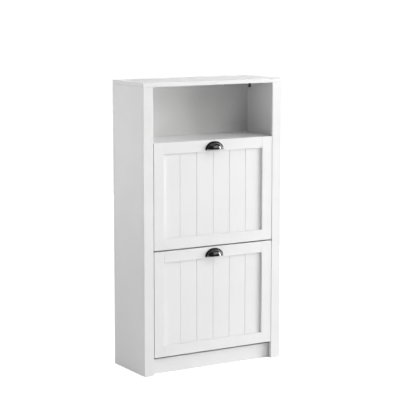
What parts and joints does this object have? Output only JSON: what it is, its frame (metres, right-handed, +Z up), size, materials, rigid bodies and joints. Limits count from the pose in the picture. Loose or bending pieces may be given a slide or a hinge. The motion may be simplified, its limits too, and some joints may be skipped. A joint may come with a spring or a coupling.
{
  "type": "shoe cabinet",
  "caption": "Slim shoe cabinet with an open top compartment and tilting grooved flaps that carry shoe trays, on a recessed plinth.",
  "frame": {"origin": "on the floor, at the centre of the bounding box's base, handles included", "axes": "+Z up, -Y towards the flaps and handles, +X to the right seen from the front"},
  "size_m": [0.6, 0.2637, 1.09],
  "materials": {
    "white_board": "satin white laminate on board",
    "white_plastic": "fine moulded",
    "black_plastic": "fine moulded",
    "black_lacquer": "gloss black lacquer",
    "steel": "zinc plated",
    "grey_foam": "closed-cell foam"
  },
  "bodies": {
    "carcass": {"top_panel": "white_board", "side_panel_left": "white_board", "side_panel_right": "white_board", "front_stile_left": "white_board", "front_stile_right": "white_board", "fixed_shelf": "white_board", "middle_rail": "white_board", "bottom_panel": "white_board", "plinth_front": "white_board", "plinth_rear": "white_board", "back_panel": "white_board", "wall_bracket": "white_plastic", "strap_anchor": "black_plastic", "upper_stop_strip": "grey_foam", "lower_stop_strip": "grey_foam", "glide_front_left": "white_plastic", "glide_rear_left": "white_plastic", "glide_front_right": "white_plastic", "glide_rear_right": "white_plastic", "upper_pivot_block_left": "white_plastic", "upper_pivot_pin_left": "steel", "upper_stop_pin_left": "steel", "upper_pivot_block_right": "white_plastic", "upper_pivot_pin_right": "steel", "upper_stop_pin_right": "steel", "lower_pivot_block_left": "white_plastic", "lower_pivot_pin_left": "steel", "lower_stop_pin_left": "steel", "lower_pivot_block_right": "white_plastic", "lower_pivot_pin_right": "steel", "lower_stop_pin_right": "steel"},
    "upper_flap": {"upper_flap_stile_left": "white_board", "upper_flap_stile_right": "white_board", "upper_flap_rail_top": "white_board", "upper_flap_rail_bottom": "white_board", "upper_flap_panel": "white_board", "upper_lower_tray": "white_board", "upper_lower_tray_back": "white_board", "upper_upper_tray": "white_board", "upper_upper_tray_back": "white_board", "upper_handle": "black_lacquer", "upper_bracket_left": "white_plastic", "upper_handle_screw_left": "steel", "upper_bracket_right": "white_plastic", "upper_handle_screw_right": "steel"},
    "lower_flap": {"lower_flap_stile_left": "white_board", "lower_flap_stile_right": "white_board", "lower_flap_rail_top": "white_board", "lower_flap_rail_bottom": "white_board", "lower_flap_panel": "white_board", "lower_lower_tray": "white_board", "lower_lower_tray_back": "white_board", "lower_upper_tray": "white_board", "lower_upper_tray_back": "white_board", "lower_handle": "black_lacquer", "lower_bracket_left": "white_plastic", "lower_handle_screw_left": "steel", "lower_bracket_right": "white_plastic", "lower_handle_screw_right": "steel"}
  },
  "joints": [
    {"name": "upper_flap_tilt", "type": "hinge", "parent": "carcass", "child": "upper_flap", "pos_m": [0, -0.084, 0.576], "axis": [1, 0, 0], "range_deg": [0, 42]},
    {"name": "lower_flap_tilt", "type": "hinge", "parent": "carcass", "child": "lower_flap", "pos_m": [0, -0.084, 0.1725], "axis": [1, 0, 0], "range_deg": [0, 42]}
  ]
}
